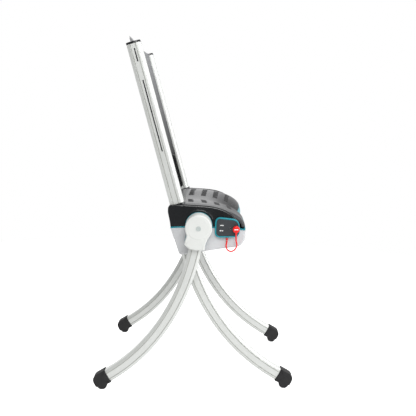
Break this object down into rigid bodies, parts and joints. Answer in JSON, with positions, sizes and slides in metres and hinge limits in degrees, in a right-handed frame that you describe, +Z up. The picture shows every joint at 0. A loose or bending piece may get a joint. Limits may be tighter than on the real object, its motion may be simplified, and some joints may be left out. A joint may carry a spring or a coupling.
{
  "type": "mobile lifting chair",
  "caption": "Battery-driven lifting chair with a padded seat, curved legs on motor-driven hubs, a split backrest and a pull-out stop key.",
  "frame": {"origin": "on the floor, under the middle of the chair", "axes": "+Z up, the chair faces -Y, the seated person's right side is -X"},
  "size_m": [0.6942, 0.6634, 1.189],
  "materials": {
    "aluminium": "satin",
    "steel": "machined",
    "cast": "cast, matte",
    "pale_shell": "fine texture",
    "hub_white": "satin",
    "cap_grey": "satin",
    "dark_cover": "satin gloss",
    "panel_dark": "matte",
    "turquoise": "satin gloss",
    "pad": "soft matte foam skin",
    "back": "satin",
    "rubber": "matte",
    "red": "satin gloss",
    "board": "satin",
    "battery": "wrapped"
  },
  "bodies": {
    "seat": {"front_leg_right": "aluminium", "front_foot_right": "rubber", "shaft_bearing_right": "steel", "side_cover_right": "dark_cover", "frame_side_right": "cast", "post_socket_right": "cast", "leg_socket_right": "cast", "front_leg_left": "aluminium", "front_foot_left": "rubber", "shaft_bearing_left": "steel", "side_cover_left": "dark_cover", "frame_side_left": "cast", "post_socket_left": "cast", "leg_socket_left": "cast", "gear_motor": "steel", "battery_pack": "battery", "control_board": "board", "lower_shell": "pale_shell", "seat_pad": "pad", "trim_band": "turquoise", "rear_cover": "dark_cover", "front_crossbar": "aluminium", "rear_crossbar": "aluminium", "front_screw": "steel", "rear_screw": "steel", "control_panel": "panel_dark", "panel_rim": "turquoise", "left_panel": "panel_dark", "left_panel_rim": "turquoise", "lanyard_anchor": "red", "stop_lanyard": "red"},
    "drive": {"rear_leg_right": "aluminium", "rear_foot_right": "rubber", "hub_core_right": "cast", "hub_seal_right": "turquoise", "hub_cover_right": "hub_white", "hub_cap_right": "cap_grey", "rear_leg_left": "aluminium", "rear_foot_left": "rubber", "hub_core_left": "cast", "hub_seal_left": "turquoise", "hub_cover_left": "hub_white", "hub_cap_left": "cap_grey", "cross_shaft": "steel", "drive_gear": "steel"},
    "backrest_right": {"post_right": "aluminium", "post_cap_right": "dark_cover", "post_inlay_right": "dark_cover", "back_panel_right": "back", "lower_back_panel_right": "dark_cover"},
    "backrest_left": {"post_left": "aluminium", "post_cap_left": "dark_cover", "post_inlay_left": "dark_cover", "back_panel_left": "back", "lower_back_panel_left": "dark_cover"},
    "pinion": {"drive_pinion": "steel"},
    "up_key": {"up_button": "panel_dark"},
    "down_key": {"down_button": "panel_dark"},
    "pull_key": {"stop_key": "red"}
  },
  "joints": [
    {"name": "rear_legs_lift", "type": "hinge", "parent": "seat", "child": "drive", "pos_m": [0, 0, 0.5551], "axis": [1, 0, 0], "range_deg": [0, 130]},
    {"name": "pinion_spin", "type": "hinge", "parent": "seat", "child": "pinion", "pos_m": [0.01, -0.066, 0.5551], "axis": [1, 0, 0], "range_deg": [-258, 0]},
    {"name": "backrest_right_slide", "type": "slide", "parent": "seat", "child": "backrest_right", "axis": [0, 0.2857, 0.9583], "range_m": [0, 0.1]},
    {"name": "backrest_left_slide", "type": "slide", "parent": "seat", "child": "backrest_left", "axis": [0, 0.2857, 0.9583], "range_m": [0, 0.1]},
    {"name": "up_button_press", "type": "slide", "parent": "seat", "child": "up_key", "axis": [1, 0, 0], "range_m": [0, 0.0012], "stiffness_N_per_m": 500, "springref_m": -0.0004},
    {"name": "down_button_press", "type": "slide", "parent": "seat", "child": "down_key", "axis": [1, 0, 0], "range_m": [0, 0.0012], "stiffness_N_per_m": 500, "springref_m": -0.0004},
    {"name": "stop_key_pull", "type": "slide", "parent": "seat", "child": "pull_key", "axis": [-1, 0, 0], "range_m": [0, 0.02]}
  ],
  "couplings": [
    {"joint": "pinion_spin", "follows": "rear_legs_lift", "ratio": -1.9545}
  ]
}
